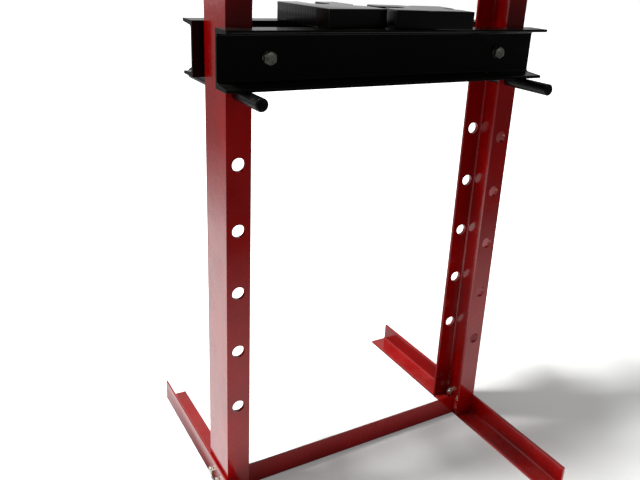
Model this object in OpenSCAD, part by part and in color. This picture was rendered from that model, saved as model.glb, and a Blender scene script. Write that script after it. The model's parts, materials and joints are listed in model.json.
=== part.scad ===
// Floor-standing H-frame hydraulic shop press with a bottle jack, millimetres.
// Origin: on the floor, midway between the uprights. +X right, +Y back, +Z up.

/* [Frame] */
// Width over the outer faces of the uprights
frame_w = 670; // [600:10:720]
// Depth of the rolled channel used for uprights, head and bed
channel_d = 100; // [100:1:104]
// Width of the channel's flanges
channel_b = 48; // [44:1:50]
// Thickness of the channel's web
web_t = 5.3; // [5:0.1:6]
// Thickness of the channel's flanges, half way along them
flange_t = 7.5; // [6.5:0.5:8]

/* [Feet] */
// Length of each foot, front to back
foot_l = 710; // [600:10:760]
// Leg width of the angle used for feet and crossbar
angle_w = 50; // [48:1:54]
// Thickness of that angle
angle_t = 5; // [4.5:0.1:5.2]

/* [Bed] */
// Length of the two bed channels
bed_l = 707; // [690:1:740]
// Distance between two adjusting holes
hole_pitch = 127; // [120:1:130]
// Height of the lowest adjusting hole
first_hole_z = 225; // [200:5:240]
// Number of adjusting holes in each upright
hole_count = 6; // [6:1:7]
// Hole, counted from 0 at the bottom, that the bed pins stand in
pin_hole = 5; // [4:1:5]
// Diameter of the adjusting holes
hole_dia = 25.5; // [24.5:0.5:26]
// Diameter of the bed pins
pin_dia = 23.5; // [22:0.5:24]
// Thickness of the two heel plates
heel_t = 34; // [28:1:36]
// Height that the bed can be lifted off its pins, so that they can be drawn
bed_lift = 40; // [20:5:60]

/* [Press] */
// Travel of the ram
stroke = 140; // [110:5:145]
// Height of the closed jack
jack_h = 242; // [242:1:250]
// Angle of the pump handle above the level
handle_rest = 30; // [25:1:32]

/* [Hidden] */
$fn = 48;

red = "#b5141a";
black = "#15161a";
zinc = "#8f9184";
steel = "#a9abad";

eps = 0.05;            // gap between faces that touch
half_w = frame_w / 2;
half_d = channel_d / 2;
flange_slope = 0.08;   // the flanges taper towards their toes
root_r = 6;            // fillet between web and flange
toe_r = 3;             // rounding of a flange's inner edge
angle_fillet = 5;
hole_x = half_w - channel_b / 2;
hole_r = hole_dia / 2;
pin_r = pin_dia / 2;

// Fasteners: thread, width across flats, height of the head and of the nut
M8 = [8, 13, 5.3, 6.5];
M10 = [10, 17, 6.4, 8.4];
M14 = [14, 22, 8.8, 12.8];
m10_hole_r = 5.5;
m14_hole_r = 7.5;
foot_washer_t = 2;
m14_washer_t = 2.5;

// Bed
bed_gap_front = 2;
bed_gap_rear = 12;
pin_z = first_hole_z + pin_hole * hole_pitch - (hole_r - pin_r) + eps;
pin_l = 330;
pin_front_left = -147;
pin_front_right = -168;
bed_z = pin_z + pin_r + eps;
bed_top = bed_z + channel_d;
bed_mid = bed_z + channel_d / 2;
bed_front_y = -half_d - bed_gap_front;
bed_rear_y = half_d + bed_gap_rear;
bed_inner = bed_rear_y - bed_front_y;
bed_bolt_x = 260;
tube_r = 15;

// Heel plates
heel_l = 166;
heel_w = 132;
heel_place_left = [-105, 4];
heel_place_right = [70, -34];
heel_turn_left = 97;
heel_turn_right = -8;

// Press unit: heights from the ram nose up to the head
nose_l = 40;
nose_r = 22.5;
plate_t = 12;
thrust_t = 12;
nose_z = bed_top + heel_t + bed_lift + stroke + 6;
plate_z = nose_z + nose_l;
jack_z = plate_z + plate_t;
thrust_z = jack_z + jack_h + eps;
head_z = thrust_z + thrust_t;
head_top = head_z + channel_d;

// Head joints
head_bolt_dz = 29;
taper_half = 12.5;
nut_seat = flange_t + flange_slope * taper_half + 2;

// Foot joints, kept clear of the crossbar's upright leg
foot_bolt_y = [25, -13];
foot_bolt_z = 21;
crossbar_y = -34;
crossbar_cope = 40;

// Jack
base_h = 24;
base_r = 62;
tank_r = 45;
tank_wall = 3.5;
tank_top = 200;
cyl_r = 33;
bore_r = 26;
cyl_z = 12;
rod_r = 20;
cap_top = 224;
piston_z = 16;
piston_h = 22;
run = 0.05;            // radial running clearance
fulcrum_y = -58;
fulcrum_z = 104;
arm = 26;              // from the fulcrum to the piston's pin
pump_y = fulcrum_y - arm * (1 + cos(handle_rest)) / 2;
pump_r = 13;
pump_bore = 6.5;
pump_top = 82;
pump_foot = 14;
piston_pin_z = fulcrum_z + arm * sin(handle_rest);
link_x = 12;
link_t = 4;
cheek_x = 7.5;
cheek_t = 3.5;
pump_pin_r = 3.5;
socket_r = 17;
socket_bore = 13;
socket_start = 48;
socket_end = 125;
handle_r = socket_bore - 0.1;
handle_start = 56;
handle_end = 460;
grip_l = 115;
grip_r = 16;
valve_x = 27;
valve_z = 12;
valve_r = 5;
base_front = -108;
bolt_ring = 54;
bolt_angles = [45, 135, 200, 340];

// Springs
spring_x = 110;
coil_r = 9;
wire_r = 1.6;
eye_r = 9;
eye_wire = 3;
eye_drop = 14;         // from a plate's face to the centre of the eye
eye_shank_r = M8[0] / 2;
hook_rise = 1;
coil_end = eye_drop + eye_r + coil_r + hook_rise - wire_r - eye_wire - 0.1;
coil_turns = 20;
coil_steps = 8;
wire_sides = 5;

// ---------- shared shapes ----------

// Half the height of the channel's pocket, x from the back of its web
function pocket_half(x) = half_d - flange_t + flange_slope * (x - channel_b / 2);

// Channel section: web on the Y axis, tapered flanges towards +X
module channel_section() {
    beyond = channel_b + 1;
    rise = sqrt(1 + flange_slope * flange_slope);
    across = [-flange_slope, 1] / rise;
    root = [web_t + root_r, pocket_half(web_t + root_r) - root_r * rise];
    toe = [channel_b - toe_r, pocket_half(channel_b - toe_r) + toe_r * rise];
    root_touch = root + root_r * across;
    toe_touch = toe - toe_r * across;
    difference() {
        translate([0, -half_d]) square([channel_b, channel_d]);
        translate([web_t, -root[1]]) square([channel_b, 2 * root[1]]);
        for (s = [0, 1]) mirror([0, s]) {
            polygon([[root[0], 0], root_touch, [beyond, pocket_half(beyond)], [beyond, 0]]);
            translate(root) circle(r = root_r);
            difference() {
                polygon([toe_touch, [beyond, pocket_half(beyond)], [beyond, toe[1]], toe]);
                translate(toe) circle(r = toe_r);
            }
        }
    }
}

// Equal angle section: corner at the origin, legs along +X and +Y
module angle_section() {
    inner = angle_t + angle_fillet;
    toe = 2.5;
    difference() {
        square([angle_w, angle_w]);
        translate([inner, angle_t]) square(angle_w);
        translate([angle_t, inner]) square(angle_w);
        translate([inner, inner]) circle(r = angle_fillet);
        for (tilt = [0, 1]) mirror([tilt, -tilt]) difference() {
            translate([angle_w - toe, angle_t - toe]) square(toe + 1);
            translate([angle_w - toe, angle_t - toe]) circle(r = toe);
        }
    }
}

// Channel lying along X, its web's back at y, flanges pointing to side (-1 front, 1 back)
module beam(l, y, z, side) {
    translate([-l / 2, y, z + half_d])
        mirror([0, side < 0 ? 1 : 0, 0])
            rotate([90, 0, 90]) linear_extrude(l) channel_section();
}

// Hexagon across flats af with its top edges chamfered, from z = 0 up
module hexagon(af, h) {
    r = af / sqrt(3);
    intersection() {
        cylinder(r = r, h = h, $fn = 6);
        cylinder(r1 = af / 2 + h * 1.7, r2 = af / 2, h = h);
    }
}

// Bolt with its head on z = 0 and its shank l long below
module hex_bolt(size, l) {
    d = size[0];
    hexagon(size[1], size[2]);
    translate([0, 0, -l]) cylinder(d = d, h = l + 1);
    translate([0, 0, -l - 1]) cylinder(d1 = d - 2, d2 = d, h = 1);
}

module hex_nut(size) {
    difference() {
        hexagon(size[1], size[3]);
        translate([0, 0, -1]) cylinder(r = size[0] / 2 + eps, h = size[3] + 2);
    }
}

module washer(d, od, t) {
    difference() {
        cylinder(d = od, h = t);
        translate([0, 0, -1]) cylinder(r = d / 2 + 0.5, h = t + 2);
    }
}

// Turns a child's +Z to point to -Y
module to_front() { rotate([90, 0, 0]) children(); }

// Turns a child's +Z to point to +Y
module to_back() { rotate([-90, 0, 0]) children(); }

// ---------- frame ----------

module upright() {
    difference() {
        translate([-half_w, 0, angle_t + eps])
            linear_extrude(head_top - angle_t - eps) channel_section();
        for (k = [0 : hole_count - 1])
            translate([-hole_x, 0, first_hole_z + k * hole_pitch])
                to_front() cylinder(r = hole_r, h = channel_d + 2, center = true);
        for (z = [head_bolt_dz, channel_d - head_bolt_dz])
            translate([-hole_x, 0, head_z + z])
                to_front() cylinder(r = m14_hole_r, h = channel_d + 2, center = true);
        for (y = foot_bolt_y)
            translate([-half_w - 1, y, foot_bolt_z])
                rotate([0, 90, 0]) cylinder(r = m10_hole_r, h = web_t + 2);
        // Lower outer edge, cut to clear the fillet of the foot
        translate([-half_w, 0, angle_t]) rotate([0, 45, 0])
            cube([angle_fillet * sqrt(2), channel_d + 2, angle_fillet * sqrt(2)], center = true);
    }
}

module upright_left() { color(red) upright(); }

module upright_right() { color(red) mirror([1, 0, 0]) upright(); }

module foot() {
    outer_x = -half_w - angle_t - eps;
    difference() {
        translate([outer_x, foot_l / 2, 0])
            rotate([90, 0, 0]) linear_extrude(foot_l) angle_section();
        for (y = foot_bolt_y)
            translate([outer_x - 1, y, foot_bolt_z])
                rotate([0, 90, 0]) cylinder(r = m10_hole_r, h = angle_t + 2);
    }
}

module foot_left() { color(red) foot(); }

module foot_right() { color(red) mirror([1, 0, 0]) foot(); }

// Angle on the feet, its upright leg to the front and cut back at both ends
module lower_crossbar() {
    length = 2 * (half_w - web_t - 2);
    color(red) difference() {
        translate([-length / 2, crossbar_y, angle_t + eps])
            rotate([90, 0, 90]) linear_extrude(length) angle_section();
        for (s = [-1, 1])
            translate([s * (length / 2) - crossbar_cope, crossbar_y - 1, 2 * angle_t + eps])
                cube([2 * crossbar_cope, angle_w + 2, angle_w]);
    }
}

module at_foot_bolts() {
    for (s = [0, 1], y = foot_bolt_y)
        mirror([s, 0, 0]) translate([-half_w, y, foot_bolt_z]) rotate([0, -90, 0]) children();
}

module foot_bolts() {
    color(zinc) at_foot_bolts()
        translate([0, 0, angle_t + 2 * eps]) hex_bolt(M10, 25);
}

module foot_washers() {
    color(zinc) at_foot_bolts() translate([0, 0, -web_t - foot_washer_t - eps])
        washer(M10[0], 20, foot_washer_t);
}

module foot_nuts() {
    color(zinc) at_foot_bolts() translate([0, 0, -web_t - foot_washer_t - 2 * eps])
        mirror([0, 0, 1]) hex_nut(M10);
}

// ---------- head ----------

module head_channel(side) {
    difference() {
        beam(frame_w, side * (half_d + eps), head_z, side);
        for (x = [-hole_x, hole_x], z = [head_bolt_dz, channel_d - head_bolt_dz])
            translate([x, side * (half_d + web_t / 2), head_z + z])
                to_front() cylinder(r = m14_hole_r, h = web_t + 2, center = true);
    }
}

module head_channel_front() { color(red) head_channel(-1); }

module head_channel_rear() { color(red) head_channel(1); }

module at_head_bolts() {
    for (side = [0, 1], back = [0, 1], z = [head_bolt_dz, channel_d - head_bolt_dz])
        mirror([side, 0, 0]) mirror([0, back, 0])
            translate([-hole_x, -half_d, head_z + z]) to_front() children();
}

// Square washer that makes up for the slope inside the upright's flange
module taper_washer() {
    difference() {
        rotate([90, 0, 0]) linear_extrude(2 * taper_half, center = true) polygon([
            [-taper_half, -flange_t - flange_slope * taper_half - eps],
            [taper_half, -flange_t + flange_slope * taper_half - eps],
            [taper_half, -nut_seat],
            [-taper_half, -nut_seat]]);
        translate([0, 0, -nut_seat - 1]) cylinder(r = m14_hole_r, h = nut_seat + 1);
    }
}

module head_bolts() {
    color(zinc) at_head_bolts()
        translate([0, 0, web_t + m14_washer_t + 3 * eps]) hex_bolt(M14, 34);
}

module head_washers() {
    color(zinc) at_head_bolts() {
        translate([0, 0, web_t + 2 * eps]) washer(M14[0], 28, m14_washer_t);
        taper_washer();
    }
}

module head_nuts() {
    color(zinc) at_head_bolts() translate([0, 0, -nut_seat - eps])
        mirror([0, 0, 1]) hex_nut(M14);
}

// Plate under the head that the jack pushes against
module thrust_plate() {
    half_l = spring_x + 25;
    half_y = half_d + channel_b;
    color(red) difference() {
        translate([-half_l, -half_y, thrust_z]) cube([2 * half_l, 2 * half_y, thrust_t - eps]);
        for (x = [-spring_x, spring_x])
            translate([x, 0, thrust_z - 1]) cylinder(r = eye_shank_r + 0.5, h = thrust_t + 2);
        translate([0, 0, thrust_z - 1]) cylinder(r = 8, h = thrust_t + 2);
    }
}

// Eyebolt: shank up from z = 0, eye hanging below it
module eyebolt() {
    translate([0, 0, -eye_drop]) to_front() rotate_extrude()
        translate([eye_r, 0]) circle(r = eye_wire, $fn = 32);
    translate([0, 0, -eye_drop + eye_r]) cylinder(r = eye_shank_r, h = eye_drop - eye_r + 26);
    translate([0, 0, -2.5]) cylinder(r = 8, h = 2.5 - eps);
}

module upper_eyebolts() {
    color(zinc) for (x = [-spring_x, spring_x]) translate([x, 0, thrust_z]) eyebolt();
}

module upper_eyebolt_nuts() {
    color(zinc) for (x = [-spring_x, spring_x])
        translate([x, 0, thrust_z + thrust_t]) hex_nut(M8);
}

module lower_eyebolts() {
    color(zinc) for (x = [-spring_x, spring_x])
        translate([x, 0, jack_z]) mirror([0, 0, 1]) eyebolt();
}

module lower_eyebolt_nuts() {
    color(zinc) for (x = [-spring_x, spring_x])
        translate([x, 0, plate_z - eps]) mirror([0, 0, 1]) hex_nut(M8);
}

// ---------- return springs ----------

spring_low = jack_z + coil_end;
spring_high = thrust_z - coil_end;

// Each entry of the path is a point, its outward direction and its tangent
function hook(z, a) =
    [[0, coil_r * cos(a), z + coil_r * sin(a)], [0, cos(a), sin(a)], [0, -sin(a), cos(a)]];
function coil(i, n) =
    let (a = 90 + 360 * coil_turns * i / n, rise = (spring_high - spring_low) / coil_turns)
    [[coil_r * cos(a), coil_r * sin(a), spring_low + rise * coil_turns * i / n],
     [cos(a), sin(a), 0],
     (i == 0 || i == n) ? [-1, 0, 1] / sqrt(2) : [-sin(a), cos(a), rise / (2 * PI * coil_r)]];
function spring_path() = concat(
    [for (a = [-230 : 23 : -23]) hook(spring_low - hook_rise, a)],
    [for (i = [0 : coil_turns * coil_steps]) coil(i, coil_turns * coil_steps)],
    [for (a = [23 : 23 : 230]) hook(spring_high + hook_rise, a)]);

module return_spring(x) {
    path = spring_path();
    n = len(path);
    m = wire_sides;
    points = [for (p = path) let (side = cross(p[2], p[1]) / norm(cross(p[2], p[1])))
        for (j = [0 : m - 1])
            p[0] + wire_r * (cos(360 * j / m) * p[1] + sin(360 * j / m) * side)];
    walls = [for (i = [0 : n - 2], j = [0 : m - 1])
        let (k = (j + 1) % m) each [
            [i * m + j, i * m + k, (i + 1) * m + k],
            [i * m + j, (i + 1) * m + k, (i + 1) * m + j]]];
    first = [for (j = [m - 1 : -1 : 0]) j];
    last = [for (j = [0 : m - 1]) (n - 1) * m + j];
    translate([x, 0, 0]) polyhedron(points = points, faces = concat(walls, [first, last]));
}

module return_spring_left() { color(steel) return_spring(-spring_x); }

module return_spring_right() { color(steel) return_spring(spring_x); }

// ---------- press plate ----------

module press_plate() {
    half_l = spring_x + 25;
    corner = 12;
    front = base_front - 6;
    back = base_r + 8;
    color(red) difference() {
        union() {
            translate([-half_l + corner, front, plate_z])
                cube([2 * (half_l - corner), back - front, plate_t - eps]);
            translate([-half_l, front + corner, plate_z])
                cube([2 * half_l, back - front - 2 * corner, plate_t - eps]);
            for (x = [-half_l + corner, half_l - corner], y = [front + corner, back - corner])
                translate([x, y, plate_z]) cylinder(r = corner, h = plate_t - eps);
        }
        for (x = [-spring_x, spring_x])
            translate([x, 0, plate_z - 1]) cylinder(r = eye_shank_r + 0.5, h = plate_t + 2);
        at_jack_bolts() translate([0, 0, -1]) cylinder(d = M8[0] + 2 * eps, h = plate_t + 2);
    }
}

// Round nose that presses the work
module press_ram_nose() {
    color(steel) translate([0, 0, nose_z]) {
        translate([0, 0, 2]) cylinder(r = nose_r, h = nose_l - 12);
        cylinder(r1 = nose_r - 2, r2 = nose_r, h = 2);
        translate([0, 0, nose_l - 10]) cylinder(r = nose_r + 8, h = 10 - eps);
    }
}

// ---------- bottle jack ----------

module at_jack_bolts() {
    for (a = bolt_angles) translate([bolt_ring * cos(a), bolt_ring * sin(a), plate_z]) children();
}

module jack_base() {
    half_x = 42;
    color(black) difference() {
        translate([0, 0, jack_z]) {
            cylinder(r = base_r, h = base_h);
            translate([-half_x, base_front + 10, 0]) cube([2 * half_x, -base_front - 10, base_h]);
            translate([-half_x + 10, base_front, 0]) cube([2 * half_x - 20, 20, base_h]);
            for (x = [-half_x + 10, half_x - 10])
                translate([x, base_front + 10, 0]) cylinder(r = 10, h = base_h);
        }
        translate([0, 0, jack_z + cyl_z]) cylinder(r = cyl_r + eps, h = base_h);
        translate([0, pump_y, jack_z + pump_foot]) cylinder(r = pump_r + eps, h = base_h);
        translate([valve_x, base_front + 28, jack_z + valve_z])
            to_front() cylinder(r = valve_r + run, h = 40);
        at_jack_bolts() cylinder(r = 4.5, h = plate_t + base_h + 1);
    }
}

module jack_tank() {
    color(black) translate([0, 0, jack_z]) difference() {
        translate([0, 0, base_h + eps]) cylinder(r = tank_r, h = tank_top - base_h - 2 * eps);
        cylinder(r = tank_r - tank_wall, h = tank_top + 1);
        translate([0, 0, 150]) rotate([0, 90, 0]) cylinder(r = 6, h = tank_r + 5);
    }
}

module jack_cylinder() {
    color(steel) translate([0, 0, jack_z]) difference() {
        translate([0, 0, cyl_z + eps]) cylinder(r = cyl_r, h = tank_top - cyl_z - 10);
        translate([0, 0, piston_z - 2]) cylinder(r = bore_r, h = tank_top);
    }
}

module jack_top_cap() {
    color(black) translate([0, 0, jack_z]) difference() {
        union() {
            translate([0, 0, tank_top]) cylinder(r = tank_r + 3, h = 5);
            translate([0, 0, tank_top + 5]) cylinder(r = tank_r + 2, h = 11, $fn = 8);
            translate([0, 0, tank_top + 16]) cylinder(r1 = 38, r2 = 30, h = cap_top - tank_top - 16);
            translate([0, 0, tank_top - 8])
                cylinder(r = tank_r - tank_wall - eps, h = 8);
        }
        translate([0, 0, tank_top - 20]) cylinder(r = rod_r + run, h = 60);
        translate([0, 0, tank_top + 12]) cylinder(r = rod_r + 3, h = 5);
    }
}

module jack_ram() {
    color(steel) translate([0, 0, jack_z]) difference() {
        union() {
            translate([0, 0, piston_z]) cylinder(r = rod_r, h = jack_h - piston_z);
            translate([0, 0, piston_z]) cylinder(r = bore_r - run, h = piston_h);
            translate([0, 0, jack_h - 12]) cylinder(r = rod_r + 4, h = 12);
        }
        translate([0, 0, piston_z + 7]) difference() {
            cylinder(r = bore_r + 1, h = 8);
            translate([0, 0, -1]) cylinder(r = bore_r - 4, h = 10);
        }
    }
}

module ram_seal() {
    color(black) translate([0, 0, jack_z + piston_z + 7.2]) difference() {
        cylinder(r = bore_r - 0.03, h = 7.6);
        translate([0, 0, -1]) cylinder(r = bore_r - 4 + eps, h = 10);
    }
}

module rod_wiper() {
    color(black) translate([0, 0, jack_z + tank_top + 12.2]) difference() {
        cylinder(r = rod_r + 3 - eps, h = 4.6);
        translate([0, 0, -1]) cylinder(r = rod_r + 0.03, h = 7);
    }
}

module jack_bolts() {
    color(zinc) at_jack_bolts()
        translate([0, 0, plate_t + base_h + eps]) hex_bolt(M8, plate_t + base_h - 4);
}

module filler_plug() {
    color(black) translate([tank_r + 0.3, 0, jack_z + 150]) rotate([0, 90, 0]) {
        cylinder(r1 = 8.5, r2 = 7.5, h = 4);
        translate([0, 0, -6]) cylinder(r = 6 - run, h = 7);
    }
}

module release_valve() {
    knob_l = 14;
    color(zinc) translate([valve_x, base_front, jack_z + valve_z]) to_front() difference() {
        union() {
            translate([0, 0, -26]) cylinder(r = valve_r, h = 34);
            translate([0, 0, 8]) cylinder(r = 9, h = knob_l);
        }
        translate([-10, -1.5, 8 + knob_l - 4]) cube([20, 3, 5]);
    }
}

module pump_cylinder() {
    color(steel) translate([0, pump_y, jack_z]) difference() {
        union() {
            translate([0, 0, pump_foot + eps]) cylinder(r = pump_r, h = pump_top - pump_foot - eps);
            translate([0, 0, base_h + eps]) cylinder(r = pump_r + 4, h = 8, $fn = 6);
        }
        translate([0, 0, pump_foot + 2]) cylinder(r = pump_bore + run, h = pump_top);
    }
}

// Rod with a flat eye; the eye is slotted because its pin swings on an arc
module pump_piston() {
    slot = arm * (1 - cos(handle_rest)) / 2 + 0.6;
    tang_low = -9;
    color(steel) translate([0, pump_y, jack_z]) {
        translate([0, 0, 38]) cylinder(r = pump_bore, h = piston_pin_z + tang_low - 38);
        translate([0, 0, piston_pin_z]) difference() {
            translate([-5, -9, tang_low]) cube([10, 18, 17]);
            rotate([0, 90, 0]) {
                for (y = [-slot, slot])
                    translate([0, y, -6]) cylinder(r = pump_pin_r + 0.5, h = 12);
            }
            translate([-6, -slot, -pump_pin_r - 0.5]) cube([12, 2 * slot, 2 * pump_pin_r + 1]);
        }
    }
}

module fulcrum_links() {
    color(black) for (s = [-1, 1])
        translate([s * (link_x + link_t / 2), fulcrum_y, jack_z]) difference() {
            union() {
                translate([-link_t / 2, -8, base_h + eps])
                    cube([link_t, 16, fulcrum_z - base_h - eps]);
                translate([-link_t / 2, 0, fulcrum_z]) rotate([0, 90, 0])
                    cylinder(r = 8, h = link_t);
            }
            translate([-link_t, 0, fulcrum_z]) rotate([0, 90, 0])
                cylinder(r = pump_pin_r + run, h = 2 * link_t);
        }
}

module fulcrum_pin() {
    half_l = link_x + link_t + 1;
    color(zinc) translate([0, fulcrum_y, jack_z + fulcrum_z]) rotate([0, 90, 0]) {
        translate([0, 0, -half_l]) cylinder(r = pump_pin_r, h = 2 * half_l);
        translate([0, 0, half_l]) cylinder(r = pump_pin_r + 2, h = 2.5);
    }
}

// Everything on the lever is drawn level, then tilted about the fulcrum
module on_lever() {
    translate([0, fulcrum_y, jack_z + fulcrum_z]) rotate([-handle_rest, 0, 0]) children();
}

module handle_socket() {
    color(black) on_lever() difference() {
        union() {
            for (s = [-1, 1]) translate([s * (cheek_x + cheek_t / 2), 0, 0]) {
                rotate([0, 90, 0]) cylinder(r = 9, h = cheek_t, center = true);
                translate([-cheek_t / 2, -socket_start - 2, -9]) cube([cheek_t, socket_start + 2, 18]);
            }
            translate([0, -socket_start, 0]) to_front()
                cylinder(r = socket_r, h = socket_end - socket_start);
        }
        translate([0, -socket_start - 6, 0]) to_front() cylinder(r = socket_bore, h = socket_end);
        for (y = [0, -arm]) translate([-20, y, 0]) rotate([0, 90, 0])
            cylinder(r = pump_pin_r + run, h = 40);
    }
}

module piston_pin() {
    half_l = cheek_x + cheek_t + 0.6;
    color(zinc) on_lever() translate([0, -arm, 0]) rotate([0, 90, 0])
        translate([0, 0, -half_l]) cylinder(r = pump_pin_r, h = 2 * half_l);
}

module pump_handle() {
    color(zinc) on_lever() to_front() difference() {
        translate([0, 0, handle_start]) cylinder(r = handle_r, h = handle_end - handle_start);
        translate([0, 0, handle_start - 1]) cylinder(r = handle_r - 2, h = handle_end);
    }
}

module handle_grip() {
    color(black) on_lever() to_front() difference() {
        union() {
            translate([0, 0, handle_end - grip_l]) cylinder(r = grip_r, h = grip_l + 1);
            translate([0, 0, handle_end + 1]) cylinder(r1 = grip_r, r2 = grip_r - 4, h = 3);
        }
        translate([0, 0, handle_end - grip_l - 1]) cylinder(r = handle_r + run, h = grip_l + 1 + run);
    }
}

// ---------- bed ----------

module bed_channel(y, side) {
    difference() {
        beam(bed_l, y, bed_z, side);
        for (x = [-bed_bolt_x, bed_bolt_x])
            translate([x, y, bed_mid])
                to_front() cylinder(r = m14_hole_r, h = 2 * web_t + 2, center = true);
    }
}

module bed_channel_front() { color(black) bed_channel(bed_front_y, -1); }

module bed_channel_rear() { color(black) bed_channel(bed_rear_y, 1); }

module at_bed_bolts() {
    for (x = [-bed_bolt_x, bed_bolt_x]) translate([x, bed_front_y, bed_mid]) to_front() children();
}

module bed_spacer_tubes() {
    color(black) at_bed_bolts() translate([0, 0, -bed_inner + eps]) difference() {
        cylinder(r = tube_r, h = bed_inner - 2 * eps);
        translate([0, 0, -1]) cylinder(r = 8, h = bed_inner + 2);
    }
}

module bed_bolts() {
    color(zinc) at_bed_bolts()
        translate([0, 0, web_t + m14_washer_t + 2 * eps])
            hex_bolt(M14, bed_inner + 2 * web_t + 24);
}

module bed_washers() {
    color(zinc) at_bed_bolts() {
        translate([0, 0, web_t + eps]) washer(M14[0], 24, m14_washer_t);
        translate([0, 0, -bed_inner - web_t - m14_washer_t - eps])
            washer(M14[0], 24, m14_washer_t);
    }
}

module bed_nuts() {
    color(zinc) at_bed_bolts() translate([0, 0, -bed_inner - web_t - m14_washer_t - 2 * eps])
        mirror([0, 0, 1]) hex_nut(M14);
}

module bed_pin(x, front) {
    chamfer = 2;
    translate([x, front, pin_z]) to_back() {
        cylinder(r1 = pin_r - chamfer, r2 = pin_r, h = chamfer);
        translate([0, 0, chamfer]) cylinder(r = pin_r, h = pin_l - 2 * chamfer);
        translate([0, 0, pin_l - chamfer]) cylinder(r1 = pin_r, r2 = pin_r - chamfer, h = chamfer);
    }
}

module bed_pin_left() { color(black) bed_pin(-hole_x, pin_front_left); }

module bed_pin_right() { color(black) bed_pin(hole_x, pin_front_right); }

// Cut of a round-ended notch in a heel plate's right end
module end_notch(width) {
    translate([heel_l / 2 - width, 0, -1]) cylinder(d = width, h = heel_t + 2);
    translate([heel_l / 2 - width, -width / 2, -1]) cube([width + 1, width, heel_t + 2]);
}

// Plate with a notch in its right end and a vee in its long far side
module heel_plate(notch, vee) {
    difference() {
        translate([-heel_l / 2, -heel_w / 2, 0]) cube([heel_l, heel_w, heel_t]);
        end_notch(notch);
        translate([0, heel_w / 2, -1]) rotate([0, 0, 45])
            translate([-vee / 2, -vee / 2, 0]) cube([vee, vee, heel_t + 2]);
    }
}

module heel_plate_left() {
    color(black) translate(concat(heel_place_left, bed_top + eps))
        rotate([0, 0, heel_turn_left]) mirror([0, 1, 0]) heel_plate(42, 26);
}

module heel_plate_right() {
    color(black) translate(concat(heel_place_right, bed_top + eps))
        rotate([0, 0, heel_turn_right]) mirror([1, 0, 0]) difference() {
            heel_plate(32, 20);
            mirror([1, 0, 0]) end_notch(18);
        }
}

upright_left();
upright_right();
foot_left();
foot_right();
lower_crossbar();
foot_bolts();
foot_washers();
foot_nuts();
head_channel_front();
head_channel_rear();
head_bolts();
head_washers();
head_nuts();
thrust_plate();
upper_eyebolts();
upper_eyebolt_nuts();
return_spring_left();
return_spring_right();
lower_eyebolts();
lower_eyebolt_nuts();
press_plate();
press_ram_nose();
jack_base();
jack_tank();
jack_cylinder();
jack_top_cap();
jack_ram();
ram_seal();
rod_wiper();
jack_bolts();
filler_plug();
release_valve();
pump_cylinder();
pump_piston();
fulcrum_links();
fulcrum_pin();
piston_pin();
handle_socket();
pump_handle();
handle_grip();
bed_channel_front();
bed_channel_rear();
bed_spacer_tubes();
bed_bolts();
bed_washers();
bed_nuts();
bed_pin_left();
bed_pin_right();
heel_plate_left();
heel_plate_right();
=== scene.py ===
"""Hydraulic shop press: finishes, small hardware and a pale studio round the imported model.

Lengths are in metres, in the model's own frame: +X right, +Y back, +Z up."""
import json
import math

import bmesh
import bpy
from mathutils import Matrix, Vector

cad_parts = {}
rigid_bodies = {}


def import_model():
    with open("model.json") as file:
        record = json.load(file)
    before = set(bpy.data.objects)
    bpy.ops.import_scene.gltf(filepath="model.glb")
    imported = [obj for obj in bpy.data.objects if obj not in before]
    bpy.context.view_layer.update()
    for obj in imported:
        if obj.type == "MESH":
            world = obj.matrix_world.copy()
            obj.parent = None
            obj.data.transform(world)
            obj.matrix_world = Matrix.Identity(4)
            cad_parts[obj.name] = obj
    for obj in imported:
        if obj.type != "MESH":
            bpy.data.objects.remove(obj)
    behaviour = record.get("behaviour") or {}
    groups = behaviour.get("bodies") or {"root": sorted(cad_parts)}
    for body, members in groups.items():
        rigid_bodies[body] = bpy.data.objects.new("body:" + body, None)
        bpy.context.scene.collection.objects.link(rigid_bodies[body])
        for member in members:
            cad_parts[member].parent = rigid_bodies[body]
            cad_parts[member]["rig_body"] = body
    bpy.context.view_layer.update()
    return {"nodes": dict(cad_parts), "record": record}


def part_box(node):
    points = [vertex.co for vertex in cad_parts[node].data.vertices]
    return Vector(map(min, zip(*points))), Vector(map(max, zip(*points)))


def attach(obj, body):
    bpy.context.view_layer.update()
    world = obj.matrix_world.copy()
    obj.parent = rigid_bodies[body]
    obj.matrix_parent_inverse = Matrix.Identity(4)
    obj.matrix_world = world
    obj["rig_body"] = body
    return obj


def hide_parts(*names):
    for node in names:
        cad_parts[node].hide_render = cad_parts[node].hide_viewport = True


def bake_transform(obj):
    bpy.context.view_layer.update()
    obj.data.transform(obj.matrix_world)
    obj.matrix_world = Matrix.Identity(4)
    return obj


MM = 0.001

# The startup file's own cube, light and camera go first
for leftover in list(bpy.data.objects):
    bpy.data.objects.remove(leftover)

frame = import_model()

# Camera: left of the press and in front of it, looking down on its feet
CAMERA_PLACE = (-0.7714, -1.1558, 1.0865)
CAMERA_TURN = 31.89       # degrees to the right of +Y
CAMERA_DIP = 20.02        # degrees below the level
CAMERA_ROLL = 3.25
CAMERA_LENS = 39.06
CAMERA_SHIFT = (-0.0394, -0.0436)
SENSOR_WIDTH = 36

# Studio
KEY_PLACE, KEY_TARGET, KEY_SIZE = (-1.6, 0.65, 5.9), (0, 0, 0.4), 0.8
KEY_WATTS, FLOOR_KEY_WATTS = 380, 320
FLOOR_GLOW = 0.18         # painted glow the floor gives off near the press, lifting its shadows
FLOOR_WHITE = 1.1         # far from it
FLOOR_HALF = 14           # half its side
BRIGHT_SIDE = (-0.45, 0.8, 0.35)  # direction the surroundings are brightest in
SKY_DIM, SKY_BRIGHT = 0.06, 0.55

# Handle
HANDLE_TILT = 30          # degrees above the level at rest
GRIP_START = 345 * MM     # along the handle, from the fulcrum

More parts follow.
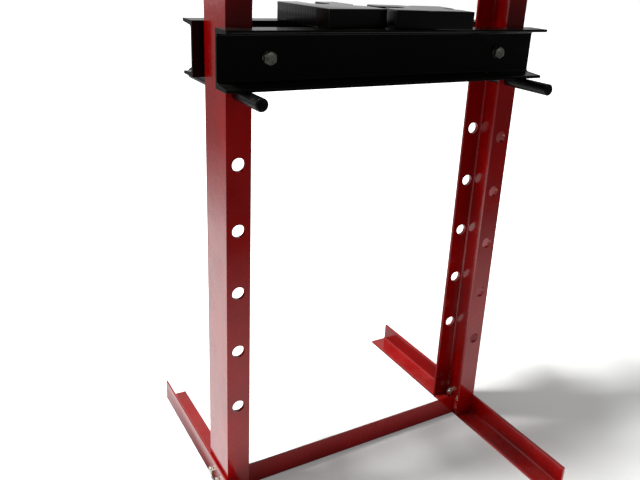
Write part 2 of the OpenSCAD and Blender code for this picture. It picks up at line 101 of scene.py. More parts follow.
# Bolts: width across flats, height of the head, radius and pitch of the thread
M8 = (13 * MM, 5.3 * MM, 3.9 * MM, 1.25 * MM)
M10 = (17 * MM, 6.4 * MM, 4.9 * MM, 1.5 * MM)
M14 = (22 * MM, 8.8 * MM, 6.9 * MM, 2 * MM)
HEX_STEPS = 72
SHANK_STEPS = 36
ROWS_PER_TURN = 6
X, Y, Z = 0, 1, 2

# Sharp edges of the plates and castings are rounded over by this much
BROKEN_EDGES = {
    "heel_plate_left": 1.6 * MM, "heel_plate_right": 1.6 * MM, "press_plate": 1.2 * MM,
    "thrust_plate": 1.2 * MM, "jack_base": 2.5 * MM, "jack_top_cap": 1.2 * MM,
    "press_ram_nose": 1 * MM, "fulcrum_links": 0.6 * MM, "handle_socket": 0.7 * MM,
    "pump_cylinder": 0.7 * MM,
}


# ---------- node materials ----------

class Finish:
    """A procedural material. Values are numbers, colours or other nodes' sockets."""

    def __init__(self, name):
        self.material = bpy.data.materials.new(name)
        self.material.use_nodes = True
        self.tree = self.material.node_tree
        self.surface = self.tree.nodes["Principled BSDF"]
        self.place = self.add("TexCoord").outputs["Object"]

    def add(self, kind, inputs=None, **settings):
        node = self.tree.nodes.new("ShaderNode" + kind)
        for name, value in settings.items():
            setattr(node, name, value)
        for key, value in (inputs or {}).items():
            self.feed(node.inputs[key], value)
        return node

    def feed(self, socket, value):
        if isinstance(value, bpy.types.NodeSocket):
            self.tree.links.new(value, socket)
        else:
            socket.default_value = value

    def noise(self, size, detail=3.0, rough=0.55, stretch=(1, 1, 1)):
        """Noise from 0 to 1 whose blotches are about size metres across."""
        scaled = self.add("VectorMath", {0: self.place, 1: stretch}, operation="MULTIPLY")
        return self.add("TexNoise", {"Vector": scaled.outputs[0], "Scale": 1 / size,
                                     "Detail": detail, "Roughness": rough}).outputs["Fac"]

    def span(self, value, low, high, out_low=0.0, out_high=1.0):
        """value rescaled from low..high to out_low..out_high, with smooth ends."""
        return self.add("MapRange", {"Value": value, "From Min": low, "From Max": high,
                                     "To Min": out_low, "To Max": out_high},
                        interpolation_type="SMOOTHSTEP").outputs["Result"]

    def mix(self, factor, first, second):
        node = self.add("Mix", data_type="RGBA")
        for index, value in ((0, factor), (6, first), (7, second)):
            self.feed(node.inputs[index], value)
        return node.outputs[2]

    def maths(self, operation, first, second):
        return self.add("Math", {0: first, 1: second}, operation=operation).outputs[0]

    def times(self, first, second):
        return self.maths("MULTIPLY", first, second)

    def plus(self, first, second):
        return self.maths("ADD", first, second)

    def minus(self, first, second):
        return self.maths("SUBTRACT", first, second)

    def larger(self, first, second):
        return self.maths("MAXIMUM", first, second)

    def rounded(self, radius):
        """Normal that looks as if sharp edges had this radius."""
        return self.add("Bevel", {"Radius": radius}, samples=4).outputs["Normal"]

    def edges(self, radius):
        """1 on sharp outer edges, 0 on flat ground."""
        flat = self.add("NewGeometry").outputs["Normal"]
        dot = self.add("VectorMath", {0: self.rounded(radius), 1: flat}, operation="DOT_PRODUCT")
        return self.span(dot.outputs["Value"], 0.985, 0.8)

    def upward(self):
        """1 on faces that look up and catch dust, 0 on the rest."""
        normal = self.add("NewGeometry").outputs["Normal"]
        height = self.add("SeparateXYZ", {0: normal}).outputs["Z"]
        return self.span(height, 0.6, 0.98)

    def bump(self, height, normal=None):
        """Normal of a surface raised by height metres."""
        inputs = {"Height": height, "Distance": 1.0, "Strength": 1.0}
        if normal is not None:
            inputs["Normal"] = normal
        return self.add("Bump", inputs).outputs["Normal"]

    def finish(self, **values):
        for key, value in values.items():
            self.feed(self.surface.inputs[key.replace("_", " ")], value)
        return self.material


def rgb(red, green, blue):
    """Linear colour from display values of 0 to 255."""
    return tuple((v / 255) ** 2.2 for v in (red, green, blue)) + (1.0,)


DUST = rgb(176, 168, 158)
OIL_STAIN = rgb(112, 104, 92)


def enamel(name, deep, fresh, worn, gloss=0.9, wear=0.5, dust=0.1):
    """Glossy enamel over rolled steel: blotchy depth, orange peel, rubbed edges and dust."""
    look = Finish(name)
    blotch = look.span(look.noise(0.16, 4), 0.3, 0.7)
    runs = look.span(look.noise(0.03, 4, 0.6, (1, 1, 0.12)), 0.35, 0.7)
    colour = look.mix(look.times(blotch, 0.6), deep, fresh)
    colour = look.mix(look.times(runs, 0.25), colour, deep)
    patchy = look.span(look.noise(0.012, 5, 0.65), 0.52, 0.68)
    rubbed = look.times(look.times(look.edges(1.2 * MM), patchy), wear)
    colour = look.mix(rubbed, colour, worn)
    settled = look.span(look.noise(0.05, 5, 0.6), 0.35, 0.75, 0.2, 1.0)
    dusty = look.times(look.times(look.upward(), settled), dust)
    colour = look.mix(dusty, colour, DUST)
    pits = look.times(look.noise(0.03, 4, 0.5), 0.3 * MM)
    peel = look.times(look.noise(0.004, 2, 0.5), 0.03 * MM)
    relief = look.bump(look.plus(pits, peel), look.rounded(0.8 * MM))
    smudge = look.span(look.noise(0.07, 4, 0.6), 0.3, 0.75, 0.16, 0.34)
    return look.finish(
        Base_Color=colour, Roughness=look.plus(smudge, look.times(dusty, 0.5)),
        Specular_IOR_Level=0.15, Normal=relief, Coat_Normal=relief,
        Coat_Weight=look.minus(gloss, look.times(dusty, 1.6)),
        Coat_Roughness=look.span(look.noise(0.06, 3), 0.3, 0.7, 0.06, 0.14))


def plated(name, tint, dull, rough=0.28):
    """Zinc plate: fine crystal grain, slightly yellow passivation and grey handling marks."""
    look = Finish(name)
    grain = look.noise(0.0012, 4, 0.7)
    stain = look.span(look.noise(0.008, 5, 0.65), 0.42, 0.7)
    shine = look.plus(look.span(grain, 0.3, 0.7, -0.05, 0.08),
                      look.plus(look.times(stain, 0.16), rough))
    relief = look.bump(look.times(grain, 0.04 * MM), look.rounded(0.4 * MM))
    return look.finish(Base_Color=look.mix(stain, tint, dull), Metallic=1.0, Roughness=shine,
                       Normal=relief)


def machined(name, tint, stretch):
    """Turned or ground steel: fine tool lines across stretch, with oil film and light stains."""
    look = Finish(name)
    lines = look.noise(0.0006, 3, 0.6, stretch)
    film = look.span(look.noise(0.03, 4, 0.6), 0.35, 0.7)
    relief = look.bump(look.times(lines, 0.03 * MM), look.rounded(0.4 * MM))
    shine = look.plus(look.span(lines, 0.3, 0.7, 0.0, 0.12), 0.22)
    return look.finish(Base_Color=look.mix(look.times(film, 0.4), tint, OIL_STAIN), Metallic=1.0,
                       Roughness=shine, Normal=relief, Anisotropic=0.4)


def oxide(name):
    """Black-oxide steel rod: dark, oily, with bright rub marks along it."""
    look = Finish(name)
    rubs = look.span(look.noise(0.006, 5, 0.7, (1, 0.15, 1)), 0.55, 0.72)
    rim = look.times(look.edges(0.8 * MM), 0.6)
    bright = look.larger(look.times(rubs, 0.35), rim)
    colour = look.mix(bright, rgb(30, 29, 30), rgb(120, 116, 110))
    relief = look.bump(look.times(look.noise(0.002, 3), 0.04 * MM), look.rounded(0.6 * MM))
    return look.finish(Base_Color=colour, Metallic=0.7, Roughness=look.plus(0.3, rubs),
                       Normal=relief)


def rubber(name):
    """Moulded black rubber: fine pebble, greyed where it is handled."""
    look = Finish(name)
    bloom = look.span(look.noise(0.025, 4, 0.6), 0.4, 0.75)
    colour = look.mix(look.times(bloom, 0.35), rgb(26, 26, 27), rgb(74, 72, 70))
    relief = look.bump(look.times(look.noise(0.0009, 2), 0.08 * MM), look.rounded(0.5 * MM))
    return look.finish(Base_Color=colour, Roughness=look.span(bloom, 0, 1, 0.55, 0.75),
                       Normal=relief)


def flame_cut(name):
    """Heel plate: black gloss paint over mill plate, torch lines on its cut sides, worn edges."""
    look = Finish(name)
    top = look.upward()
    bare = look.times(top, look.span(look.noise(0.035, 5, 0.65), 0.5, 0.7))
    rim = look.times(look.edges(1.5 * MM), look.span(look.noise(0.01, 4), 0.45, 0.6))
    worn = look.larger(look.times(bare, 0.25), look.times(rim, 0.5))
    colour = look.mix(worn, rgb(15, 17, 15), rgb(104, 108, 100))
    torch = look.times(look.noise(0.0028, 2, 0.4, (1, 1, 0.05)), 0.7 * MM)
    scale = look.times(look.noise(0.012, 4, 0.5), 0.06 * MM)
    height = look.plus(scale, look.times(torch, look.minus(1.0, top)))
    return look.finish(Base_Color=colour, Roughness=look.span(worn, 0, 0.5, 0.3, 0.5),
                       Metallic=look.times(worn, 0.8), Specular_IOR_Level=0.3,
                       Coat_Weight=look.plus(0.4, look.times(top, 0.6)), Coat_Roughness=0.1,
                       Normal=look.bump(height, look.rounded(1 * MM)))


def weld_metal(name, paint, shade):
    """Painted-over weld bead."""
    look = Finish(name)
    ripple = look.times(look.noise(0.002, 3), 0.2 * MM)
    colour = look.mix(look.span(look.noise(0.01), 0.4, 0.7), paint, shade)
    return look.finish(Base_Color=colour, Roughness=0.3, Coat_Weight=0.8, Coat_Roughness=0.1,
                       Normal=look.bump(ripple))


RED = enamel("red_enamel", rgb(138, 4, 6), rgb(180, 10, 12), rgb(120, 46, 40), dust=0.06)
RED_PLATE = enamel("red_enamel_plates", rgb(134, 5, 8), rgb(174, 12, 14), rgb(104, 62, 54),
                   wear=0.7)
BLACK = enamel("black_enamel", rgb(12, 13, 11), rgb(19, 21, 18), rgb(84, 86, 78),
               gloss=0.28, dust=0.02)
JACK = enamel("jack_enamel", rgb(12, 12, 13), rgb(20, 21, 23), rgb(104, 102, 98), wear=0.6)
ZINC = plated("zinc_plate", rgb(222, 221, 208), rgb(150, 150, 138))
TURNED = machined("turned_steel", rgb(186, 187, 188), (0.08, 0.08, 1))
SPRING_WIRE = plated("spring_wire", rgb(176, 178, 182), rgb(110, 110, 112), 0.22)
OXIDE = oxide("black_oxide")
RUBBER = rubber("black_rubber")
PLATE = flame_cut("heel_plate_steel")
WELD = weld_metal("painted_weld", rgb(150, 12, 16), rgb(90, 14, 16))

SLOT_FINISH = {"red_paint": RED, "black_paint": BLACK, "zinc": ZINC, "bare_steel": TURNED,
               "rubber": RUBBER}
NODE_FINISH = {
    "heel_plate_left": PLATE, "heel_plate_right": PLATE, "bed_pin_left": OXIDE,
    "bed_pin_right": OXIDE, "press_plate": RED_PLATE, "thrust_plate": RED_PLATE,
    "jack_base": JACK, "jack_tank": JACK, "jack_top_cap": JACK, "fulcrum_links": JACK,
    "handle_socket": JACK,
}


def dress_cad_nodes():
    """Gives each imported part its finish, by name or else by the slot in its record."""
    for part in frame["record"]["subparts"]:
        node = frame["nodes"][part["node"]]
        finish = NODE_FINISH.get(part["node"], SLOT_FINISH[part["material_slot"]])
        node.material_slots[0].material = finish


# ---------- mesh building ----------

def loose_boxes(node):
    """Box (low, high) of each separate solid in a CAD node."""
    parent = {}

    def root(key):
        while parent[key] != key:
            key = parent[key]
        return key

    mesh = frame["nodes"][node].data
    keys = [tuple(round(c, 6) for c in v.co) for v in mesh.vertices]
    for key in keys:
        parent.setdefault(key, key)
    for polygon in mesh.polygons:
        first, *others = [keys[i] for i in polygon.vertices]
        for other in others:
            parent[root(other)] = root(first)
    groups = {}
    for key in parent:
        groups.setdefault(root(key), []).append(key)
    return [(Vector(map(min, zip(*g))), Vector(map(max, zip(*g)))) for g in groups.values()]


def pointing(place, direction):
    """Matrix at place whose Z axis points along direction."""
    turn = Vector(direction).to_track_quat("Z", "Y").to_matrix().to_4x4()
    return Matrix.Translation(place) @ turn


def add_rings(mesh, rings, place, closed=False):
    """Skins rings of points, all of one length. An open skin is capped; a closed one joins up."""
    made = [[mesh.verts.new(place @ Vector(p)) for p in ring] for ring in rings]
    pairs = list(zip(made, made[1:])) + ([(made[-1], made[0])] if closed else [])
    count = len(made[0])
    for lower, upper in pairs:
        for i in range(count):
            j = (i + 1) % count
            mesh.faces.new((lower[i], lower[j], upper[j], upper[i]))
    if not closed:
        mesh.faces.new(list(reversed(made[0])))
        mesh.faces.new(made[-1])


def circle(radius, height, steps, shape=None):
    """Ring of points; shape(angle) scales the radius."""
    points = []
    for i in range(steps):
        angle = 2 * math.pi * i / steps
        r = radius * (shape(angle) if shape else 1)
        points.append((r * math.cos(angle), r * math.sin(angle), height))
    return points


def piece(name, build, body, finish, replaces=(), smooth_to=35):
    """A new mesh, filled in by build, that rides on a CAD body and may stand in for CAD nodes."""
    draft = bmesh.new()
    build(draft)
    bmesh.ops.recalc_face_normals(draft, faces=draft.faces)
    mesh = bpy.data.meshes.new(name)
    draft.to_mesh(mesh)
    draft.free()
    mesh.polygons.foreach_set("use_smooth", [True] * len(mesh.polygons))
    mesh.set_sharp_from_angle(angle=math.radians(smooth_to))
    mesh.materials.append(finish)
    obj = bpy.data.objects.new(name, mesh)
    bpy.context.scene.collection.objects.link(obj)
    if body:
        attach(obj, body)
    if replaces:
        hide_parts(*replaces)
    return obj


# ---------- threaded fasteners ----------

def hex_radius(flats, angle):
    """Distance from a hexagon's centre to its edge."""
    third = math.pi / 3
    return flats / 2 / math.cos((angle + third / 2) % third - third / 2)


def hex_ring(flats, limit, height):
    """Hexagon cut off by a circle of radius limit, as a chamfer cuts it."""
    points = []
    for i in range(HEX_STEPS):
        angle = 2 * math.pi * i / HEX_STEPS
        r = min(hex_radius(flats, angle), limit)
        points.append((r * math.cos(angle), r * math.sin(angle), height))
    return points


def chamfer_rings(flats, height, upward):
    """Rings over one chamfered end of a hexagon, going away from its middle."""
    inner = flats / 2 * 0.96
    corner = flats / math.sqrt(3)
    slope = math.tan(math.radians(30))
    steps = 5
    rings = []
    for i in range(steps + 1):
        limit = corner + (inner - corner) * i / steps
        rings.append(hex_ring(flats, limit, height - upward * (limit - inner) * slope))
    return rings


def add_head(mesh, flats, thick, place):
    """Hexagon head on z = 0 with a washer face below, a chamfer and a dished top."""
    face, dish = 0.4 * MM, thick - 0.35 * MM
    uncut = 1  # wider than any head
    rings = [circle(flats * 0.3, 0, HEX_STEPS), circle(flats * 0.46, 0, HEX_STEPS),
             circle(flats * 0.47, face, HEX_STEPS), hex_ring(flats, uncut, face)]
    rings += chamfer_rings(flats, thick, 1)
    rings += [circle(flats * 0.40, thick, HEX_STEPS), circle(flats * 0.37, dish, HEX_STEPS),
              circle(flats * 0.05, dish, HEX_STEPS)]
    add_rings(mesh, rings, place)


def add_nut(mesh, flats, thick, bore, place):
    """Hexagon nut from z = 0 to thick, chamfered on both sides, with a countersunk bore."""
    sink = 0.8 * MM
    low = list(reversed(chamfer_rings(flats, 0, -1)))
    high = chamfer_rings(flats, thick, 1)
    rings = [circle(bore, sink, HEX_STEPS), circle(bore + sink, 0, HEX_STEPS)] + low + high
    rings += [circle(bore + sink, thick, HEX_STEPS), circle(bore, thick - sink, HEX_STEPS)]
    add_rings(mesh, rings, place, closed=True)


def add_shank(mesh, radius, pitch, start, end, threaded, place):
    """Shank from z = start down to z = end; its last threaded metres carry a screw thread."""
    depth = pitch * 0.5
    rings = [circle(radius, start, SHANK_STEPS), circle(radius, end + threaded, SHANK_STEPS)]
    rows = int(threaded / pitch * ROWS_PER_TURN)
    for row in range(1, rows):
        z = end + threaded - threaded * row / rows
        run_in = min(1.0, row / ROWS_PER_TURN)
        point = max(0.0, 1 - (z - end) / pitch) * depth
        ring = []
        for i in range(SHANK_STEPS):
            turn = i / SHANK_STEPS
            ridge = abs(((z / pitch + turn) % 1) * 2 - 1)
            r = radius - depth * (1 - ridge) * run_in - point
            angle = 2 * math.pi * turn
            ring.append((r * math.cos(angle), r * math.sin(angle), z))
        rings.append(ring)
    rings.append(circle(radius - depth * 2.2, end, SHANK_STEPS))
    add_rings(mesh, rings, place)


def end_of_box(low, high, axis, side=0):
    """Middle of a box's end on one side of an axis, 1 or -1, and the direction it looks in. Side 0
    is the one further from the press."""
    middle = (low + high) / 2
    side = side or (1 if middle[axis] > 0 else -1)
    direction = Vector((0, 0, 0))
    direction[axis] = side
    middle[axis] = high[axis] if side > 0 else low[axis]
    return middle, direction


def make_bolts(node, body, axis, thread, threaded, side=0):
    """Hexagon bolts in place of a CAD node's solids, threaded over their last metres."""
    flats, thick, radius, pitch = thread

    def build(mesh):
        for low, high in loose_boxes(node):
            end, direction = end_of_box(low, high, axis, side)
            length = (high - low)[axis]
            seat = pointing(end - direction * thick, direction)
            add_head(mesh, flats, thick, seat)
            add_shank(mesh, radius, pitch, 0.1 * MM, thick - length, threaded, seat)
    return piece(node + "_cut", build, body, ZINC, [node])


def make_nuts(node, body, axis, thread):
    """Hexagon nuts in place of a CAD node's solids."""
    flats, _, radius, _ = thread
    bore = radius + 0.1 * MM

    def build(mesh):
        for low, high in loose_boxes(node):
            end, direction = end_of_box(low, high, axis)
            thick = (high - low)[axis]
            add_nut(mesh, flats, thick, bore, pointing(end - direction * thick, direction))
    return piece(node + "_cut", build, body, ZINC, [node])


def make_fasteners():
    front = -1
    make_bolts("foot_bolts", "frame", X, M10, 12 * MM)
    make_nuts("foot_nuts", "frame", X, M10)
    make_bolts("head_bolts", "frame", Y, M14, 12 * MM)
    make_nuts("head_nuts", "frame", Y, M14)
    make_bolts("bed_bolts", "bed", Y, M14, 24 * MM, front)
    make_nuts("bed_nuts", "bed", Y, M14)
    make_bolts("jack_bolts", "press_unit", Z, M8, 12 * MM)


# ---------- return springs ----------

def add_tube(mesh, path, radii, sides):
    """Round wire along a path, one radius a point, its ring carried along without twist. The last
    point only gives the wire's end its direction."""
    tangents = [(b - a).normalized() for a, b in zip(path, path[1:])]
    side = tangents[0].orthogonal().normalized()
    rings = []
    for point, tangent, radius in zip(path, tangents, radii):
        side = (side - tangent * side.dot(tangent)).normalized()
        other = tangent.cross(side)
        rings.append([point + radius * (side * math.cos(a) + other * math.sin(a))
                      for a in (2 * math.pi * i / sides for i in range(sides))])
    add_rings(mesh, rings, Matrix())


def hook(radius, height, first, last):
    """Arc in the YZ plane from the angle first to the angle last, in degrees."""
    steps = 14
    points = []
    for i in range(steps + 1):
        angle = math.radians(first + i * (last - first) / steps)
        points.append(Vector((0, radius * math.cos(angle), height + radius * math.sin(angle))))
    return points


def spring_path(node):
    """Wire's centre line: a hook, close coils and a hook, from the CAD spring's box."""
    low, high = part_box(node)
    middle = (low + high) / 2
    wire = 1.6 * MM
    ring = (high - low).x / 2 - wire
    turns, steps = 24, 28
    hook_rise = 1 * MM
    open_end, closed_end = 230, 20
    bottom = low.z + wire + ring + hook_rise
    top = high.z - wire - ring - hook_rise
    coil_low, coil_high = bottom + ring + hook_rise, top - ring - hook_rise
    path = hook(ring, bottom, -open_end, -closed_end)
    for i in range(turns * steps + 1):
        angle = math.radians(90) + 2 * math.pi * i / steps
        path.append(Vector((ring * math.cos(angle), ring * math.sin(angle),
                            coil_low + (coil_high - coil_low) * i / (turns * steps))))
    path += hook(ring, top, closed_end, open_end)
    return [p + Vector((middle.x, middle.y, 0)) for p in path], wire


def make_springs():
    """Coil springs between the head and the press plate, in place of the CAD springs."""
    wire_sides = 10
    for side in ("left", "right"):
        node = "return_spring_" + side
        path, wire = spring_path(node)
        spring = piece(node + "_coil",
                       lambda mesh: add_tube(mesh, path, [wire] * len(path), wire_sides),
                       None, SPRING_WIRE, [node], smooth_to=60)
        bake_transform(spring)


# ---------- plates and castings with broken edges ----------

def make_bevelled(node, width):
    """The CAD node's own shape with its sharp edges rounded over."""
    cad = frame["nodes"][node]
    same_place, flat, sharp_from = 0.001 * MM, math.radians(0.5), math.radians(35)

    def build(mesh):
        mesh.from_mesh(cad.data)
        bmesh.ops.remove_doubles(mesh, verts=mesh.verts, dist=same_place)
        bmesh.ops.dissolve_limit(mesh, angle_limit=flat, verts=mesh.verts, edges=mesh.edges)
        sharp = [e for e in mesh.edges
                 if len(e.link_faces) == 2 and e.calc_face_angle() > sharp_from]
        bmesh.ops.bevel(mesh, geom=sharp, offset=width, offset_type="OFFSET", segments=3,
                        profile=0.5, affect="EDGES", clamp_overlap=True)
    piece(node + "_broken_edges", build, cad["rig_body"], cad.material_slots[0].material,
          [node], smooth_to=30)


def make_plates_and_castings():
    """Every part in BROKEN_EDGES, with its own width of rounding."""
    for node, width in BROKEN_EDGES.items():
        make_bevelled(node, width)


# ---------- welds ----------

BEAD_STEP = 0.4 * MM  # between the points of a bead's path


def add_bead(mesh, path, size):
    """Weld bead whose ripples lie one behind another along a path of close points."""
    ripple, ripple_depth = 2.2 * MM, 0.18
    sides, ends = 12, 4
    gone = 0.0
    radii = []
    for i, point in enumerate(path):
        gone += (point - path[max(i - 1, 0)]).length
        phase = (gone / ripple) % 1
        radii.append(size * (1 - ripple_depth + ripple_depth * math.sqrt(1 - phase * phase)))
    for i in range(ends):
        fade = math.sqrt((i + 0.6) / ends)
        radii[i] *= fade
        radii[-1 - i] *= fade
    add_tube(mesh, path, radii, sides)


def straight(start, end):
    """Close points from start to end."""
    start, end = Vector(start), Vector(end)
    count = int((end - start).length / BEAD_STEP)
    return [start.lerp(end, i / count) for i in range(count + 1)]


def make_welds():
    """Crossbar to feet, thrust plate to head channels, nose to press plate."""
    bar_low, bar_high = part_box("lower_crossbar")
    foot_low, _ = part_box("foot_right")
    thrust_low, thrust_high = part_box("thrust_plate")
    plate_low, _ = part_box("press_plate")
    nose_low, nose_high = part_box("press_ram_nose")
    wide = 3 * MM

    def crossbar(mesh):
        inset, size = 3 * MM, 2.4 * MM
        for side in (-1, 1):
            for y in (bar_low.y, bar_high.y):
                add_bead(mesh, straight((side * (foot_low.x + inset), y, bar_low.z),
                                        (side * (bar_high.x - inset), y, bar_low.z)), size)

    def thrust(mesh):
        inset, flange = 4 * MM, 40 * MM
        for x in (thrust_low.x, thrust_high.x):
            for y in (thrust_low.y + inset, thrust_high.y - inset - flange):
                add_bead(mesh, straight((x, y, thrust_high.z), (x, y + flange, thrust_high.z)),
                         wide)

    def nose(mesh):
        middle = (nose_low + nose_high) / 2
        radius = (nose_high - nose_low).x / 2
        steps = int(2 * math.pi * radius / BEAD_STEP)
        angles = [2 * math.pi * i / steps for i in range(steps + 1)]
        path = [Vector((middle.x + radius * math.cos(a), middle.y + radius * math.sin(a),
                        plate_low.z)) for a in angles]
        add_bead(mesh, path, wide)

    piece("weld_crossbar", crossbar, "frame", WELD, smooth_to=50)
    piece("weld_thrust_plate", thrust, "frame", WELD, smooth_to=50)
    piece("weld_ram_nose", nose, "press_unit", WELD, smooth_to=50)


# ---------- grip and valve knob ----------

def make_grip():
    """Rubber grip with a collar at its inner end, ring ribs and a rounded closed end."""
    pin_low, pin_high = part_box("fulcrum_pin")
    tilt = math.radians(HANDLE_TILT)
    direction = Vector((0, -math.cos(tilt), math.sin(tilt)))
    middle = (pin_low + pin_high) / 2
    place = pointing(Vector((0, middle.y, middle.z)) + direction * GRIP_START, direction)
    bore, outer, length, wall = 12.95 * MM, 16 * MM, 119 * MM, 3.9 * MM
    collar, rib, groove = 6 * MM, 5 * MM, 1.3 * MM
    steps, wave_steps, corner_steps = 48, 6, 5
    profile = [(0.5 * MM, length - wall), (bore, length - wall), (bore, 0), (outer - 1 * MM, 0),
               (outer, 1 * MM), (outer, collar - 1 * MM), (outer - 1 * MM, collar)]
    ribs = int((length - collar - 8 * MM) / rib)
    for i in range(ribs * wave_steps + 1):
        wave = 0.5 - 0.5 * math.cos(2 * math.pi * i / wave_steps)
        profile.append((outer - groove * (1 - wave) - 0.2 * MM,
                        collar + 1 * MM + rib * i / wave_steps))
    corner = 4 * MM
    for i in range(corner_steps + 1):
        angle = math.pi / 2 * i / corner_steps
        profile.append((outer - 0.3 * MM - corner * (1 - math.cos(angle)),
                        length - corner * (1 - math.sin(angle))))
    profile.append((0.5 * MM, length))

    def build(mesh):
        add_rings(mesh, [circle(radius, height, steps) for radius, height in profile], place)
    piece("handle_grip_ribbed", build, "handle", RUBBER, ["handle_grip"])


def make_knob():
    """Release valve: plain stem, fluted knob and a slot across its face."""
    low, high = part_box("release_valve")
    middle = (low + high) / 2
    place = pointing((middle.x, low.y, middle.z), (0, -1, 0))
    radius, length, stem, slot_half, slot_depth = 9 * MM, 14 * MM, 5 * MM, 1.5 * MM, 4 * MM
    flutes, flute_depth, steps, stem_steps = 14, 0.09, 112, 40

    def fluted(angle):
        return 1 - flute_depth * max(0.0, math.cos(flutes * angle)) ** 2

    def lip(sign, height, shrink):
        """Half of the knob's outline on one side of the slot."""
        start = math.asin(slot_half / radius)
        ring = []
        for i in range(steps // 2 + 1):
            angle = start + (math.pi - 2 * start) * i / (steps // 2)
            r = radius * fluted(angle) - shrink
            ring.append((r * math.cos(angle), sign * max(slot_half, r * math.sin(angle)), height))
        return ring

    def build(mesh):
        back = low.y - high.y
        add_rings(mesh, [circle(stem - 0.6 * MM, back, stem_steps),
                         circle(stem, back + 0.6 * MM, stem_steps),
                         circle(stem, 0.5 * MM - length, stem_steps)], place)
        add_rings(mesh, [circle(radius - 1.5 * MM, -length, steps),
                         circle(radius, 1.2 * MM - length, steps, fluted),
                         circle(radius, -slot_depth, steps, fluted)], place)
        for sign in (-1, 1):
            add_rings(mesh, [lip(sign, -slot_depth - 0.1 * MM, 0), lip(sign, -1 * MM, 0),
                             lip(sign, 0, 1 * MM)], place)
    piece("release_valve_fluted", build, "valve", ZINC, ["release_valve"], smooth_to=40)


# ---------- studio ----------

def floor_material():
    """Matt floor, plain white away from the press, with a painted glow near it that lifts its
    shadows. To the press's own rays it glows as painted light: in its reflections and in the
    fill light it throws up it is a strip of backdrop, brightest to its left and behind it, dark
    towards the camera, with painted shade just in front of the crossbar and uprights."""
    look = Finish("studio_floor")
    ray = look.add("LightPath")
    seen, glossy = ray.outputs["Is Camera Ray"], ray.outputs["Is Glossy Ray"]
    speckle = look.span(look.noise(0.4, 3), 0.3, 0.7)
    grey = look.mix(speckle, rgb(204, 205, 202), rgb(209, 209, 207))
    parts = look.add("SeparateXYZ", {0: look.place})
    x, y = parts.outputs["X"], parts.outputs["Y"]
    away = look.add("VectorMath", {0: look.place}, operation="LENGTH").outputs["Value"]
    white = look.larger(look.span(away, 1.3, 2.4, FLOOR_GLOW, FLOOR_WHITE),
                        look.span(y, 0.1, 0.8, FLOOR_GLOW, FLOOR_WHITE))

    # Across the front, from the camera to the uprights, darker towards the camera; over the last
    # 0.2 m before the crossbar and uprights it fades to a painted shadow
    front = look.times(look.span(y, -1.5, -0.2, 0.05, 0.85), look.span(y, -0.2, -0.04, 1.0, 0.06))
    # Behind the press, and to the left of its feet
    behind = look.span(y, -0.05, 0.5, 0.0, 0.8)
    beside = look.times(look.span(x, -0.365, -0.343, 1.3, 0.0),
                        look.span(x, -1.3, -0.8, 0.1, 1.0))
    beside = look.times(beside, look.span(y, -0.5, -0.1))
    rest = look.times(look.larger(behind, beside), look.span(y, 1.0, 3.0, 1.0, 0.15))

    # Painted reflection for mirror rays and painted fill light for diffuse rays: diffuse rays see
    # more of the front strip and less of the rest than mirror rays do
    painted_reflection_and_fill = look.plus(look.times(front, look.span(glossy, 0, 1, 2.0, 1.0)),
                         look.times(rest, look.span(glossy, 0, 1, 0.8, 1.0)))
    # Camera rays see the painted glow near the press; the press's own rays see the painted
    # reflection and fill
    glow = look.plus(look.times(white, seen), look.times(painted_reflection_and_fill, look.minus(1.0, seen)))
    return look.finish(Base_Color=look.mix(seen, (0, 0, 0, 1), grey), Roughness=0.9,
                       Specular_IOR_Level=0.0, Emission_Color=(1, 1, 1, 1),
                       Emission_Strength=glow)


def make_floor():
    mesh = bpy.data.meshes.new("studio_floor")
    corners = [(x * FLOOR_HALF, y * FLOOR_HALF, 0) for x, y in ((-1, -1), (1, -1), (1, 1), (-1, 1))]
    mesh.from_pydata(corners, [], [(0, 1, 2, 3)])
    mesh.materials.append(floor_material())
    floor = bpy.data.objects.new("studio_floor", mesh)
    bpy.context.scene.collection.objects.link(floor)
    return floor


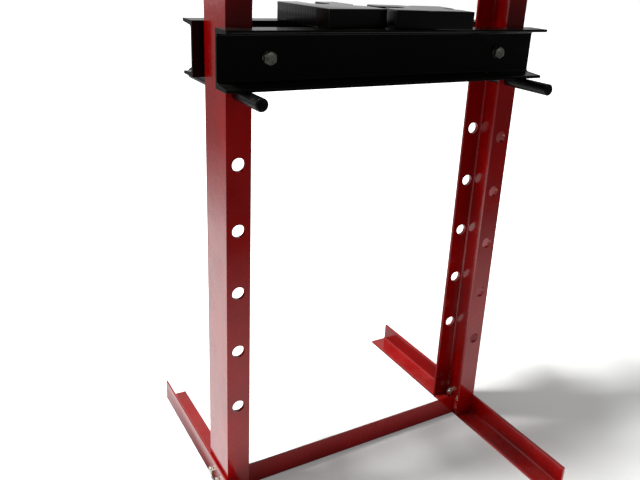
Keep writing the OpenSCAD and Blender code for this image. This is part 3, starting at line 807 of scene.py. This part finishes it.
def make_world():
    """White surroundings behind and to the left, a dim room behind the camera."""
    world = bpy.data.worlds.new("studio")
    world.use_nodes = True
    bpy.context.scene.world = world
    nodes, links = world.node_tree.nodes, world.node_tree.links
    background = nodes["Background"]
    place = nodes.new("ShaderNodeTexCoord")
    toward = nodes.new("ShaderNodeVectorMath")
    toward.operation = "DOT_PRODUCT"
    toward.inputs[1].default_value = Vector(BRIGHT_SIDE).normalized()
    fade = nodes.new("ShaderNodeMapRange")
    fade.interpolation_type = "SMOOTHSTEP"
    for key, value in (("From Min", -0.2), ("From Max", 0.7), ("To Min", SKY_DIM),
                       ("To Max", SKY_BRIGHT)):
        fade.inputs[key].default_value = value
    seen = nodes.new("ShaderNodeLightPath")
    choose = nodes.new("ShaderNodeMix")
    choose.inputs[3].default_value = 1.0
    background.inputs["Color"].default_value = (1, 1, 1, 1)
    links.new(place.outputs["Generated"], toward.inputs[0])
    links.new(toward.outputs["Value"], fade.inputs["Value"])
    links.new(seen.outputs["Is Camera Ray"], choose.inputs[0])
    links.new(fade.outputs["Result"], choose.inputs[2])
    links.new(choose.outputs[0], background.inputs["Strength"])


def add_key(name, watts):
    light = bpy.data.lights.new(name, "AREA")
    light.size = KEY_SIZE
    light.energy = watts
    holder = bpy.data.objects.new(name, light)
    holder.matrix_world = pointing(KEY_PLACE, Vector(KEY_PLACE) - Vector(KEY_TARGET))
    bpy.context.scene.collection.objects.link(holder)
    return holder


def make_lights(floor):
    """One soft key from above, left and behind, and its double for the floor alone."""
    add_key("key", KEY_WATTS)
    only_floor = add_key("floor_key", FLOOR_KEY_WATTS)
    lit = bpy.data.collections.new("lit_by_floor_key")
    lit.objects.link(floor)
    only_floor.light_linking.receiver_collection = lit


def make_camera():
    camera = bpy.data.cameras.new("camera")
    camera.sensor_width = SENSOR_WIDTH
    camera.lens = CAMERA_LENS
    camera.shift_x, camera.shift_y = CAMERA_SHIFT
    camera.clip_start = 0.01
    holder = bpy.data.objects.new("camera", camera)
    turn = Matrix.Rotation(-math.radians(CAMERA_TURN), 4, "Z")
    dip = Matrix.Rotation(math.radians(90 - CAMERA_DIP), 4, "X")
    roll = Matrix.Rotation(math.radians(CAMERA_ROLL), 4, "Z")
    holder.matrix_world = Matrix.Translation(CAMERA_PLACE) @ turn @ dip @ roll
    bpy.context.scene.collection.objects.link(holder)
    bpy.context.scene.camera = holder
    bpy.context.scene.view_settings.view_transform = "Standard"


dress_cad_nodes()
make_fasteners()
make_springs()
make_plates_and_castings()
make_welds()
make_grip()
make_knob()
studio_floor = make_floor()
make_world()
make_lights(studio_floor)
make_camera()
